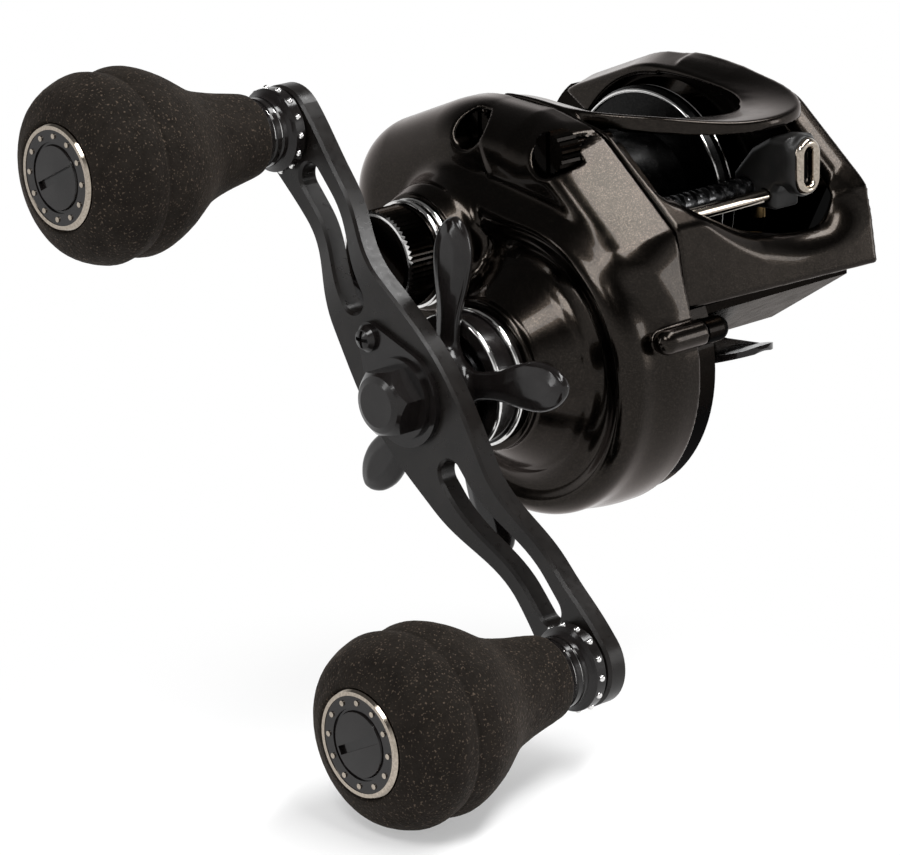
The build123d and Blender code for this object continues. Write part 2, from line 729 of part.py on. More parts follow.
def nut_retainer():
    """Thin plate that keeps the handle nut from turning, with an ear for its screw."""
    plate = hull(((0, 0), 8.0), ((RETAINER_SCREW_U, 0), 2.6)) - Circle(STUD_R)
    plate -= Pos(RETAINER_SCREW_U, 0) * Circle(RETAINER_SCREW_R)
    return extrude(HANDLE_PLANE.offset(ARM_HUB_X) * plate, 1.0)


def retainer_screw():
    x0 = ARM_HUB_X + 1.0
    centre = polar(DRIVE, RETAINER_SCREW_U, HANDLE_ANGLE)
    dome = [(x0, 0), (x0, 2.2), (x0 + 0.6, 2.2), (x0 + 1.3, 1.6), (x0 + 1.6, 0.8), (x0 + 1.6, 0)]
    head = turned(dome, centre)
    cross = Pos(x0 + 1.4, *centre) * (Box(1.2, 0.6, 2.8) + Box(1.2, 2.8, 0.6))
    return head + disc(centre, RETAINER_SCREW_R, x0 - 3.4, x0) - cross


def handle_nut():
    x0 = ARM_HUB_X + 1.0
    hexagon = extrude(HANDLE_PLANE.offset(x0) * RegularPolygon(5.0, 6, major_radius=False), 5.6)
    dome = [(x0, 0), (x0, 6.6), (x0 + 3.4, 6.2), (x0 + 5.0, 4.6), (x0 + 5.4, 3.6), (x0 + 5.4, 0)]
    flange = disc(DRIVE, 6.6, x0, x0 + 0.8)
    return (hexagon & turned(dome, DRIVE)) + flange - disc(DRIVE, STUD_R, x0 - 1, SHAFT_END_X)


def knob_spindles():
    spindles = []
    for centre in KNOB_CENTRES.values():
        spindles.append(disc(centre, SPINDLE_R, 52.2, 97.0) + disc(centre, 3.6, 52.0, 52.7))
    return group(spindles)


# Star drag wheel

def star_drag():
    petal = make_face([
        Spline((5.5, 2.9), (11.0, 2.5), (19.5, 3.6), (STAR_TIP_R, 0.4)),
        Line((STAR_TIP_R, 0.4), (STAR_TIP_R, -0.4)),
        Spline((STAR_TIP_R, -0.4), (19.5, -3.6), (11.0, -2.5), (5.5, -2.9)),
        Line((5.5, -2.9), (5.5, 2.9)),
    ])
    sketch = Circle(STAR_HUB_R)
    for i in range(STAR_ARMS):
        sketch += Rot(0, 0, STAR_ANGLE + 360.0 * i / STAR_ARMS) * petal
    back = [(51.5, 0), (51.5, 9.0), (STAR_X[0], 14.0), (STAR_X[0], 22.0), (51.6, 29.0), (52.3, 29.0)]
    front = [(STAR_X[1], 22.0), (STAR_X[1], 14.0), (53.2, 10.0), (55.2, STAR_HUB_R), (56.4, 6.6), (56.4, 0)]
    wheel = slab(Pos(*DRIVE) * sketch, 45, 60) & turned(back + front, DRIVE)
    return wheel - disc(DRIVE, 5.2, 40, 60)


def star_nut():
    return ring(DRIVE, 5.2, SHAFT_R + RUNNING, 51.6, 56.2)


# Knobs

CAP_SLOT_ANGLE = 26.0


def knob_profile(points):
    return [(ARM_END_X + x, radius) for x, radius in points]


def grip(centre):
    """Foam grip: slim at the arm, swelling to two lobes with a pinched line between."""
    lobe = [(9.0, 7.0), (15.0, 8.15), (20.0, 9.7), (26.0, 13.2), (30.7, 15.0), (34.6, 14.5)]
    cap = [(34.6, 14.5), (38.5, 15.1), (42.6, 13.4), (45.2, 9.0)]
    outer = [Spline(*knob_profile(lobe)), Spline(*knob_profile(cap))]
    tube = [(45.2, 9.0), (44.0, 8.4), (44.0, 4.6), (7.4, 4.6), (7.4, 6.6), (9.0, 7.0)]
    inner = Polyline(*knob_profile(tube))
    return Pos(0, *centre) * revolve(make_face(outer + [inner]), Axis.X)


def collar_studs(centre):
    """Round studs about the collar's flange."""
    spots = [polar(centre, 6.7, 360.0 * i / 14) for i in range(14)]
    return [Pos(ARM_END_X + 1.7, *spot) * Sphere(0.55) for spot in spots]


def cap_studs(centre):
    """Flat pins about the end cap."""
    spots = [polar(centre, 6.55, 360.0 * i / 12) for i in range(12)]
    return [disc(spot, 0.42, ARM_END_X + 44.8, ARM_END_X + 45.7) for spot in spots]


def collar(centre):
    """Turned collar at the arm end, with a flange for the studs, two grooves and the grip's tube."""
    points = [(0.4, 2.1), (0.4, 6.4), (0.8, 6.8), (2.6, 6.8), (3.0, 6.2), (3.4, 5.7), (4.2, 5.7), (4.2, 5.3),
              (4.7, 5.3), (4.7, 5.7), (5.6, 5.7), (5.6, 5.3), (6.1, 5.3), (6.1, 5.7), (7.4, 6.2), (7.4, 4.6),
              (44.0, 4.6), (44.0, 2.06)]
    body = turned(knob_profile(points), centre)
    for stud in collar_studs(centre):
        body -= stud
    return body


def collar_trim(centre):
    """Bright studs on the flange, and a bright ring in each groove."""
    rings = [ring(centre, 5.45, 5.3, ARM_END_X + x, ARM_END_X + x + 0.5) for x in (4.2, 5.6)]
    return group(collar_studs(centre) + rings)


def knob_cap(centre):
    """End cap with a slotted disc in its middle."""
    points = [(44.0, 0), (44.0, 7.5), (45.5, 7.5), (45.5, 5.6), (45.2, 5.6), (45.2, 5.2), (45.6, 5.0),
              (45.7, 0)]
    cap = turned(knob_profile(points), centre)
    cap -= disc(centre, 2.1, 90, ARM_END_X + 44.6)
    for stud in cap_studs(centre):
        cap -= stud
    return cap - Pos(ARM_END_X + 45.7, *centre) * Rot(CAP_SLOT_ANGLE, 0, 0) * Box(1.4, 9.2, 1.4)


def cap_trim(centre):
    """Bright ring round the cap, and the ring of dots on it."""
    bezel = turned(knob_profile([(44.0, 7.5), (44.0, 8.4), (45.2, 8.4), (45.6, 8.1), (45.6, 7.5)]), centre)
    return group([bezel] + cap_studs(centre))


# Spool, pinion and clutch yoke

def spool():
    points = [(SPOOL_RIGHT_X, SPOOL_R), (12.9, SPOOL_R), (12.0, 17.6), (11.0, SPOOL_ARBOR_R),
              (-10.5, SPOOL_ARBOR_R), (-11.5, 17.6), (-12.4, SPOOL_R), (SPOOL_LEFT_X, SPOOL_R),
              (SPOOL_LEFT_X, 17.0), (-12.6, 16.4), (-11.6, 10.2), (-1.2, 10.2), (-1.2, 2.5), (1.2, 2.5),
              (1.2, 10.2), (12.1, 10.2), (13.1, 16.4), (SPOOL_RIGHT_X, 17.0)]
    return turned(points, SPOOL)


def spool_rims():
    return group([ring(SPOOL, SPOOL_R, 17.2, x, x + 0.5) for x in (SPOOL_RIGHT_X, SPOOL_LEFT_X - 0.5)])


def spool_shaft():
    shaft = disc(SPOOL, SPOOL_SHAFT_R, -24.8, 42.6)
    return shaft + disc(SPOOL, 2.5, -13.0, 14.6)


def brake_rotor():
    rotor = ring(SPOOL, 8.6, SPOOL_SHAFT_R, -17.4, -15.6)
    for i in range(6):
        rotor += disc(polar(SPOOL, 9.4, 60 * i), 1.6, -17.4, -15.6)
    return rotor


def pinion_gear():
    body = disc(SPOOL, 3.0, 17.2, 21.6) + disc(SPOOL, 2.4, 21.6, 25.2)
    body += gear(PINION_TEETH, GEAR_MODULE, PINION_PHASE, SPOOL, 25.2, 32.2)
    body += disc(SPOOL, 2.4, 32.2, 34.4)
    body += disc(SPOOL, 3.4, 34.4, 36.0)
    return body - disc(SPOOL, SPOOL_SHAFT_R + RUNNING, 10, 40)


def clutch_yoke():
    across = degrees(direction(DRIVE, SPOOL)) + 90
    ears = [polar(SPOOL, side * 6.6, across) for side in (1, -1)]
    plate = hull((SPOOL, 4.6), (ears[0], 2.0), (ears[1], 2.0))
    plate -= Pos(*SPOOL) * Circle(2.5)
    for ear in ears:
        plate -= Pos(*ear) * Circle(1.1)
    return slab(plate, 32.5, 34.1)


def yoke_posts():
    across = degrees(direction(DRIVE, SPOOL)) + 90
    posts = []
    for side in (1, -1):
        posts.append(disc(polar(SPOOL, side * 6.6, across), 1.0, SEAM_X, 37.8))
    return group(posts)


# Level wind

def worm_shaft():
    """Shaft with crossed grooves that drive the line guide to and fro."""
    shaft = disc(WORM, WORM_R, -16.6, 16.6)
    shaft += disc(WORM, WORM_JOURNAL_R, -20.2, 26.0)
    groove = Cylinder(3.2, 0.9) - Cylinder(1.75, 2.0)
    for i in range(11):
        for lean in (20.0, -20.0):
            x = -14.0 + 2.8 * i
            shaft -= Pos(x, *WORM) * Rot(0, lean, 0) * Rot(0, 90, 0) * groove
    return shaft


def worm_gear():
    return gear(WORM_TEETH, LINE_MODULE, WORM_PHASE, WORM, *LINE_GEAR_X) - disc(WORM, WORM_JOURNAL_R, 10, 40)


def idler_gear():
    wheel = gear(IDLER_TEETH, LINE_MODULE, IDLER_PHASE, IDLER, *LINE_GEAR_X)
    return wheel - disc(IDLER, IDLER_PIN_R + RUNNING, 10, 40)


def eye_outline(shrink):
    return SlotCenterToCenter(EYE_HEIGHT - EYE_WIDTH, EYE_WIDTH - 2 * shrink, rotation=90)


def line_guide():
    """Carriage that rides the guide rod and the worm and holds the eye."""
    block = polygon((23.6, 25.4), (23.6, 31.0), (27.5, 35.6), (32.0, 37.9), (36.4, 37.9), (36.4, 30.8),
                    (33.4, 30.0), (32.6, 28.8), (32.6, 26.0))
    body = slab(block, GUIDE_X - GUIDE_HALF, GUIDE_X + GUIDE_HALF)
    body = fillet(body.edges().filter_by(Axis.X), 0.5)
    tunnel = Plane.XZ * (Pos(GUIDE_X, EYE[1]) * eye_outline(1.1))
    body -= extrude(tunnel, 60, both=True)
    body -= extrude(Plane.XZ.offset(-EYE[0] + 1.7) * (Pos(GUIDE_X, EYE[1]) * eye_outline(0)), -10)
    body -= disc(WORM, WORM_R + RUNNING, -30, 30)
    body -= disc(GUIDE_ROD, GUIDE_ROD_R + RUNNING, -30, 30)
    return body - Pos(GUIDE_X, *WORM) * Pos(0, 0, -3.0) * Cylinder(PAWL_R, 5.0)


def guide_ring():
    """Polished upright ring that the line runs through."""
    outer = Plane.XZ.offset(-EYE[0] + 1.7) * (Pos(GUIDE_X, EYE[1]) * eye_outline(0))
    insert = extrude(outer, -2.4)
    insert = fillet(insert.edges(), 0.5)
    hole = Plane.XZ * (Pos(GUIDE_X, EYE[1]) * eye_outline(1.3))
    return insert - extrude(hole, 60, both=True)


def pawl():
    return Pos(GUIDE_X, *WORM) * Pos(0, 0, -3.7) * Cylinder(PAWL_R, 2.6)


# Controls

def cast_control_cap():
    cap = knurled(SPOOL, CAP_R, 0.35, CAP_TEETH, CAP_X[0] + 0.3, CAP_X[1])
    bevel = turned([(CAP_X[0], 0), (CAP_X[0], CAP_R - 0.5), (45.2, CAP_R + 0.2), (49.7, CAP_R + 0.2),
                    (CAP_X[1], CAP_R - 0.5), (CAP_X[1], 0)], SPOOL)
    cap = cap & bevel
    cap += disc(SPOOL, 4.0 - RUNNING, 43.0, CAP_X[1])
    return cap - disc(SPOOL, 6.6, 49.6, 60)


def thumb_bar():
    """Bar behind the spool that the thumb presses to free it."""
    block = polygon((-25.4, 24.0), (-25.4, 29.6), (-23.8, 31.6), (-21.6, 31.6), (-21.2, 29.6), (-21.2, 24.0))
    bar = slab(block, -16.0, 16.6)
    return bar + slab(Pos(-23.4, 26.6) * Rectangle(1.8, 4.4), 16.6, 20.6)


def brake_dial():
    dial = knurled(SPOOL, 10.2, 0.3, 40, -32.8, -29.9)
    dial -= disc(SPOOL, 7.6, -40, -32.2)
    return dial + disc(SPOOL, 3.0, -29.9, -25.0)


NODES = {
    "frame": frame,
    "front_hood": front_hood,
    "gear_side_cover": gear_side_cover,
    "palm_side_cover": palm_side_cover,
    "reel_foot": reel_foot,
    "foot_screws": foot_screws,
    "cover_screws": cover_screws,
    "front_thumb_screw": lambda: thumb_screw("front", 31.4),
    "rear_thumb_screw": lambda: thumb_screw("rear", 28.6),
    "bearing_sleeve": bearing_sleeve,
    "trim_rings": trim_rings,
    "one_way_clutch": one_way_clutch,
    "bearings": bearings,
    "guide_rod": guide_rod,
    "worm_bushes": worm_bushes,
    "idler_pin": idler_pin,
    "brake_ring": brake_ring,
    "yoke_posts": yoke_posts,
    "drive_shaft": drive_shaft,
    "ratchet_wheel": ratchet_wheel,
    "drive_gear": drive_gear,
    "carbon_washers": carbon_washers,
    "drag_discs": drag_discs,
    "drag_springs": drag_springs,
    "clutch_sleeve": clutch_sleeve,
    "handle_arm": handle_arm,
    "nut_retainer": nut_retainer,
    "retainer_screw": retainer_screw,
    "handle_nut": handle_nut,
    "knob_spindles": knob_spindles,
    "star_drag": star_drag,
    "star_nut": star_nut,
    "spool": spool,
    "spool_rims": spool_rims,
    "spool_shaft": spool_shaft,
    "brake_rotor": brake_rotor,
    "pinion_gear": pinion_gear,
    "clutch_yoke": clutch_yoke,
    "worm_shaft": worm_shaft,
    "worm_gear": worm_gear,
    "idler_gear": idler_gear,
    "line_guide": line_guide,
    "guide_ring": guide_ring,
    "pawl": pawl,
    "cast_control_cap": cast_control_cap,
    "thumb_bar": thumb_bar,
    "brake_dial": brake_dial,
}
KNOB_PIECES = {
    "grip": grip,
    "collar": collar,
    "collar_trim": collar_trim,
    "cap": knob_cap,
    "cap_trim": cap_trim,
}

for name, make in NODES.items():
    save(name, make())
for side, centre in KNOB_CENTRES.items():
    for piece, make in KNOB_PIECES.items():
        save(f"{side}_{piece}", make(centre))
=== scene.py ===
import json
import math

import bmesh
import bpy
import numpy as np
from mathutils import Matrix, Vector, noise


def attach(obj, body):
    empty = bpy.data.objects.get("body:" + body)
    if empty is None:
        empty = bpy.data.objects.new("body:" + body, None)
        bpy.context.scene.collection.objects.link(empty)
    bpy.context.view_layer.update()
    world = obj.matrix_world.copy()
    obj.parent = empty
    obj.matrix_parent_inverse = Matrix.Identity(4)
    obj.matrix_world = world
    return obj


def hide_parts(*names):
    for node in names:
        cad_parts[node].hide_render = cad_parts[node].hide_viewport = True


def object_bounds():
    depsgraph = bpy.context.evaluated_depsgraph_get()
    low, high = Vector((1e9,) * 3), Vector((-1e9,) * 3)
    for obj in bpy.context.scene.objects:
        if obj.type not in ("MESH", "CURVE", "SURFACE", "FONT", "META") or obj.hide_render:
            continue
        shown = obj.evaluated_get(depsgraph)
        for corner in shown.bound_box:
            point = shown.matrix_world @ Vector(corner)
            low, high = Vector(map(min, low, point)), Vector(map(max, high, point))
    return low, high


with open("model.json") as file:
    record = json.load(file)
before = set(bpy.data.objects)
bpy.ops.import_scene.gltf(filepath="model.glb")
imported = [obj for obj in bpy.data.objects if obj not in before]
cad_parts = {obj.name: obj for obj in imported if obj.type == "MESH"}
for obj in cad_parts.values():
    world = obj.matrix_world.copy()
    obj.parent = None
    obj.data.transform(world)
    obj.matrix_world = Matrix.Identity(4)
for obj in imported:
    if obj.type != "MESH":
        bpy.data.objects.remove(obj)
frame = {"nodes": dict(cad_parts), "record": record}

cad_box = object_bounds()
nodes = frame["nodes"]
MM = 0.001

# Axes of the drive and the spool, and the knobs at the handle's ends, in millimetres

DRIVE = Vector((0, 15.5, 5.5))
SPOOL = Vector((0, -2.0, 22.2))
HANDLE_ANGLE = math.radians(-48.46)
ALONG = Vector((0, math.cos(HANDLE_ANGLE), math.sin(HANDLE_ANGLE)))
HANDLE_HALF = 50.0
KNOBS = {"lower": DRIVE + HANDLE_HALF * ALONG, "upper": DRIVE - HANDLE_HALF * ALONG}


# Materials

class Finish:
    """A node material in progress: one shader, and the noise that feeds it."""

    def __init__(self, name, **constants):
        self.material = bpy.data.materials.new(name)
        self.material.use_nodes = True
        self.tree = self.material.node_tree
        self.tree.nodes.clear()
        self.shader = self.add("ShaderNodeBsdfPrincipled")
        out = self.add("ShaderNodeOutputMaterial")
        self.link(self.shader.outputs[0], out.inputs["Surface"])
        self.coords = self.add("ShaderNodeTexCoord").outputs["Object"]
        for socket, value in constants.items():
            self.shader.inputs[socket.replace("_", " ")].default_value = value

    def add(self, kind, **settings):
        node = self.tree.nodes.new(kind)
        for key, value in settings.items():
            setattr(node, key, value)
        return node

    def link(self, source, target):
        self.tree.links.new(source, target)

    def noise(self, size_mm, detail=3.0, stretch=None):
        """Noise whose blobs are about size_mm across."""
        node = self.add("ShaderNodeTexNoise")
        node.inputs["Scale"].default_value = 1.0 / (size_mm * MM)
        node.inputs["Detail"].default_value = detail
        source = self.coords
        if stretch:
            mapping = self.add("ShaderNodeMapping")
            mapping.inputs["Scale"].default_value = stretch
            self.link(source, mapping.inputs["Vector"])
            source = mapping.outputs["Vector"]
        self.link(source, node.inputs["Vector"])
        return node.outputs["Fac"]

    def cells(self, size_mm, output="Color"):
        node = self.add("ShaderNodeTexVoronoi")
        node.inputs["Scale"].default_value = 1.0 / (size_mm * MM)
        self.link(self.coords, node.inputs["Vector"])
        return node.outputs[output]

    def spread(self, source, low, high, start=0.3, end=0.7):
        node = self.add("ShaderNodeMapRange")
        node.inputs["From Min"].default_value = start
        node.inputs["From Max"].default_value = end
        node.inputs["To Min"].default_value = low
        node.inputs["To Max"].default_value = high
        self.link(source, node.inputs["Value"])
        return node.outputs["Result"]

    def mix(self, factor, first, second):
        node = self.add("ShaderNodeMix", data_type="RGBA")
        self.link(factor, node.inputs[0])
        for index, value in ((6, first), (7, second)):
            if isinstance(value, tuple):
                node.inputs[index].default_value = (*value, 1.0)
            else:
                self.link(value, node.inputs[index])
        return node.outputs[2]

    def colour(self, source):
        self.link(source, self.shader.inputs["Base Color"])

    def rough(self, source):
        self.link(source, self.shader.inputs["Roughness"])

    def bump(self, source, depth_mm, strength=1.0):
        node = self.add("ShaderNodeBump")
        node.inputs["Strength"].default_value = strength
        node.inputs["Distance"].default_value = depth_mm * MM
        self.link(source, node.inputs["Height"])
        self.link(node.outputs["Normal"], self.shader.inputs["Normal"])


def flake_paint(name, dark, light, rough, coat, edge):
    """Dark metallic paint with fine flake under a clear coat with a trace of orange peel."""
    finish = Finish(name, Metallic=1.0, Coat_Weight=coat, Coat_Roughness=0.03, Coat_IOR=1.45,
                    Specular_Tint=edge)
    flake = finish.spread(finish.cells(0.1), 0.0, 1.0, 0.6, 1.0)
    cloud = finish.spread(finish.noise(9.0), 0.0, 1.0)
    base = finish.mix(cloud, dark, tuple(1.3 * c for c in dark))
    finish.colour(finish.mix(flake, base, light))
    finish.rough(finish.spread(finish.noise(3.0), rough - 0.03, rough + 0.04))
    finish.bump(finish.noise(0.9, 2.0), 0.003)
    return finish.material


def enamel(name, dark, light, rough, gloss, coat=0.0):
    """Black anodised or enamelled metal, with a fine grain and a little uneven sheen."""
    finish = Finish(name, Coat_Weight=coat, Coat_Roughness=0.05, Specular_IOR_Level=gloss)
    finish.colour(finish.mix(finish.spread(finish.noise(4.0, 5.0), 0.0, 1.0), dark, light))
    finish.rough(finish.spread(finish.noise(1.2, 4.0), rough - 0.04, rough + 0.06))
    finish.bump(finish.noise(0.18, 2.0), 0.002)
    return finish.material


def metal(name, dark, light, rough, stretch=(1.0, 1.0, 1.0), grain=0.4):
    """Bare or plated metal with turning marks."""
    finish = Finish(name, Metallic=1.0)
    marks = finish.noise(grain, 4.0, stretch)
    finish.colour(finish.mix(finish.spread(marks, 0.0, 1.0), dark, light))
    finish.rough(finish.spread(finish.noise(2.0, 3.0), rough * 0.8, rough * 1.3))
    finish.bump(marks, 0.002)
    return finish.material


def foam(name):
    """Closed-cell foam: matt, dark, with pale grains and small open pores."""
    finish = Finish(name, Specular_IOR_Level=0.08, Sheen_Weight=0.05, Sheen_Roughness=0.5,
                    Sheen_Tint=(0.6, 0.48, 0.4, 1.0))
    cloud = finish.spread(finish.noise(3.5, 4.0), 0.0, 1.0)
    base = finish.mix(cloud, (0.0066, 0.0053, 0.0041), (0.0128, 0.0103, 0.0081))
    grains = finish.spread(finish.noise(0.36, 1.0), 0.0, 1.0, 0.62, 0.74)
    finish.colour(finish.mix(grains, base, (0.075, 0.056, 0.042)))
    finish.rough(finish.spread(finish.noise(0.8, 2.0), 0.78, 0.95))
    pores = finish.cells(0.55, "Distance")
    finish.bump(pores, 0.09, 0.7)
    return finish.material


def plastic(name, dark, light, rough):
    """Moulded plastic with a fine spark-eroded texture."""
    finish = Finish(name, Specular_IOR_Level=0.25)
    finish.colour(finish.mix(finish.spread(finish.noise(2.5, 4.0), 0.0, 1.0), dark, light))
    finish.rough(finish.spread(finish.noise(0.5, 2.0), rough - 0.06, rough + 0.06))
    finish.bump(finish.noise(0.22, 2.0), 0.008)
    return finish.material


PAINT = flake_paint("body_flake_paint", (0.0110, 0.0089, 0.0072), (0.046, 0.038, 0.0318), 0.19, 0.16,
                    (0.9, 0.85, 0.83, 1.0))
DARK_PAINT = flake_paint("frame_flake_paint", (0.0045, 0.0038, 0.0033), (0.012, 0.0102, 0.0090), 0.26, 0.05,
                         (0.3, 0.27, 0.25, 1.0))
GLOSS = enamel("gloss_black_enamel", (0.0056, 0.0046, 0.0044), (0.0098, 0.0083, 0.0080), 0.16, 0.22, 0.14)
SATIN = enamel("satin_black_anodised", (0.0058, 0.0048, 0.0043), (0.0100, 0.0084, 0.0075), 0.3, 0.22)
FOAM = foam("eva_foam")
CHROME = metal("bright_plating", (0.62, 0.61, 0.6), (0.82, 0.81, 0.8), 0.1)
BRONZE = metal("bronze_plating", (0.3, 0.26, 0.215), (0.44, 0.385, 0.325), 0.12)
STEEL = metal("blackened_steel", (0.05, 0.05, 0.051), (0.11, 0.11, 0.112), 0.26, (6.0, 1.0, 1.0))
BRASS = metal("dark_bronze", (0.16, 0.105, 0.045), (0.26, 0.175, 0.08), 0.28, (6.0, 1.0, 1.0))
SPOOL_ALLOY = metal("black_spool_alloy", (0.006, 0.006, 0.006), (0.014, 0.0138, 0.0136), 0.24,
                    (5.0, 1.0, 1.0))
CARBON = plastic("carbon_washer", (0.008, 0.008, 0.008), (0.03, 0.03, 0.03), 0.6)
PLASTIC = plastic("moulded_black", (0.006, 0.0058, 0.0056), (0.012, 0.0116, 0.0112), 0.42)

FINISHES = {"body_paint": PAINT, "body_dark": DARK_PAINT, "gloss_black": GLOSS, "satin_black": SATIN,
            "foam": FOAM, "chrome_trim": CHROME, "steel": STEEL, "brass": BRASS, "spool_alloy": SPOOL_ALLOY,
            "carbon": CARBON, "black_plastic": PLASTIC}


def dress(obj, finish):
    obj.data.materials.clear()
    obj.data.materials.append(finish)


for part in frame["record"]["subparts"]:
    dress(nodes[part["node"]], FINISHES[part["material_slot"]])
for name in ("guide_rod", "guide_ring", "upper_cap_trim", "lower_cap_trim"):
    dress(nodes[name], BRONZE)


# Pieces

def lathe(name, loops, centre, segments, bumps=0.0, odd=None):
    """Closed surfaces about an axis along X, each from a loop of (x, radius) points in millimetres.

    With odd, every other spoke follows that loop instead, which makes teeth.
    """
    mesh = bmesh.new()
    for loop in loops:
        spokes = []
        for i in range(segments):
            out = Vector((0, math.cos(2 * math.pi * i / segments), math.sin(2 * math.pi * i / segments)))
            spoke = []
            for x, radius in odd if odd and i % 2 else loop:
                place = Vector((x, 0, 0)) + radius * out
                if bumps:
                    place += out * bumps * (noise.noise(place * 0.9) + 0.6 * noise.noise(place * 2.3))
                spoke.append(mesh.verts.new((place + centre) * MM))
            spokes.append(spoke)
        for first, second in zip(spokes, spokes[1:] + spokes[:1]):
            for i in range(len(loop)):
                j = (i + 1) % len(loop)
                mesh.faces.new((first[i], first[j], second[j], second[i]))
    bmesh.ops.recalc_face_normals(mesh, faces=mesh.faces)
    data = bpy.data.meshes.new(name)
    mesh.to_mesh(data)
    mesh.free()
    if not odd:
        data.shade_smooth()
    obj = bpy.data.objects.new(name, data)
    bpy.context.scene.collection.objects.link(obj)
    return obj


def smooth_line(points, steps):
    """Points along a smooth curve through the given points."""
    line = []
    padded = [points[0]] + list(points) + [points[-1]]
    for i in range(len(points) - 1):
        p0, p1, p2, p3 = (Vector(p) for p in padded[i:i + 4])
        for s in range(steps):
            t = s / steps
            line.append(0.5 * (2 * p1 + (p2 - p0) * t + (2 * p0 - 5 * p1 + 4 * p2 - p3) * t * t
                               + (3 * p1 - p0 - 3 * p2 + p3) * t * t * t))
    line.append(Vector(points[-1]))
    return line


# Foam grip: the two lobes outside, then the cap's seat and the bore, as (distance from the arm, radius)

ARM_END_X = 56.0
GRIP_LOBES = [(7.4, 6.1), (7.6, 6.6), (9.0, 7.0), (15.0, 8.15), (20.0, 9.7), (26.0, 13.2), (30.7, 15.0),
              (33.6, 14.75), (34.6, 14.45), (35.6, 14.75), (38.5, 15.1), (42.6, 13.4), (44.6, 10.4),
              (45.2, 9.0), (44.9, 8.5)]
GRIP_SEAT = [(44.0, 8.42), (44.0, 4.62), (7.4, 4.62)]
GRIP_SEGMENTS = 160
FOAM_BUMPS = 0.035

for side, centre in KNOBS.items():
    outline = smooth_line(GRIP_LOBES, 8) + [Vector(point) for point in GRIP_SEAT]
    profile = [(ARM_END_X + p.x, p.y) for p in outline]
    grip = lathe(f"{side}_foam_grip", [profile], centre, GRIP_SEGMENTS, FOAM_BUMPS)
    dress(grip, FOAM)
    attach(grip, f"{side}_knob")
    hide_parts(f"{side}_grip")


def bead(x, radius, thick):
    """Round section of a bright ring."""
    turns = [2 * math.pi * i / 12 for i in range(12)]
    return [(x + thick * math.cos(t), radius + thick * math.sin(t)) for t in turns]


def bright(obj, body, *stands_for):
    """A plated trim piece on a body, in place of CAD nodes where it has any."""
    dress(obj, CHROME)
    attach(obj, body)
    if stands_for:
        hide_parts(*stands_for)


RIM_SECTION = [(0, 17.2), (0, 18.2), (0.2, 18.4), (0.3, 18.4), (0.5, 18.2), (0.5, 17.2)]
RIM_ENDS = [[(start + x, radius) for x, radius in RIM_SECTION] for start in (-14.0, 14.0)]
RIM_BEADS = [bead(x, 17.65, 0.34) for x in (-11.5, 12.0)]
BOSS_BEADS = [bead(x, 10.85, 0.5) for x in (45.75, 50.45)]
NECK_BEADS = [bead(x, 8.5, 0.45) for x in (41.95, 43.55)]
bright(lathe("spool_bright_rims", RIM_ENDS + RIM_BEADS, SPOOL, 180), "spool", "spool_rims")
bright(lathe("boss_trim", BOSS_BEADS, DRIVE, 120), "frame", "trim_rings")
bright(lathe("cast_neck_trim", NECK_BEADS, SPOOL, 120), "frame")

# Bare metal where the cast cap's knurling runs out on its bevel, as (x, radius) in a valley and on a tooth

VALLEY = [(50.2, 8.08), (50.33, 7.9), (50.33, 7.5), (50.2, 7.5), (50.1, 8.0)]
TOOTH = [(49.9, 8.43), (50.33, 7.9), (50.33, 7.5), (50.2, 7.5), (49.8, 8.3)]
bright(lathe("cast_cap_edge", [VALLEY], SPOOL, 120, odd=TOOTH), "cast_cap")


# Sculpted pieces: the zero surface of a signed distance on a grid, in millimetres, with smooth blends

def rounded_max(a, b, radius):
    """Intersection of two distances whose shared edge is rounded."""
    corner = np.hypot(np.maximum(a + radius, 0), np.maximum(b + radius, 0))
    return np.minimum(np.maximum(a, b), -radius) + corner


def filleted_min(a, b, radius):
    """Union of two distances with a fillet between them."""
    return -rounded_max(-a, -b, radius)


def carve(a, b, radius):
    """Distance a without b, with a rounded edge."""
    return rounded_max(a, -b, radius)


def polygon_distance(points, u, v):
    """Signed distance from the places (u, v) to a closed polygon."""
    points = np.asarray(points, float)
    nearest = np.full(np.broadcast(u, v).shape, 1e9)
    inside = np.zeros(nearest.shape, bool)
    for (u0, v0), (u1, v1) in zip(points, np.roll(points, -1, axis=0)):
        du, dv = u1 - u0, v1 - v0
        length = du * du + dv * dv
        if length < 1e-12:
            continue
        t = np.clip(((u - u0) * du + (v - v0) * dv) / length, 0, 1)
        nearest = np.minimum(nearest, (u - u0 - t * du) ** 2 + (v - v0 - t * dv) ** 2)
        if dv:
            crosses = ((v0 <= v) != (v1 <= v)) & (u < u0 + (v - v0) * du / dv)
            inside ^= crosses
    return np.where(inside, -1.0, 1.0) * np.sqrt(nearest)


def soft_corners(points, radii, steps=10):
    """Polygon points with arcs in place of the corners that have a radius."""
    line = []
    for i, radius in enumerate(radii):
        before, corner, after = (Vector(points[(i + k) % len(points)]) for k in (-1, 0, 1))
        if not radius:
            line.append(tuple(corner))
            continue
        a, b = (before - corner).normalized(), (after - corner).normalized()
        half = a.angle(b) / 2
        centre = corner + (a + b).normalized() * radius / math.sin(half)
        reach = radius / math.tan(half)
        start, end = corner + a * reach - centre, corner + b * reach - centre
        for k in range(steps + 1):
            line.append(tuple(centre + (start.lerp(end, k / steps)).normalized() * radius))
    return line


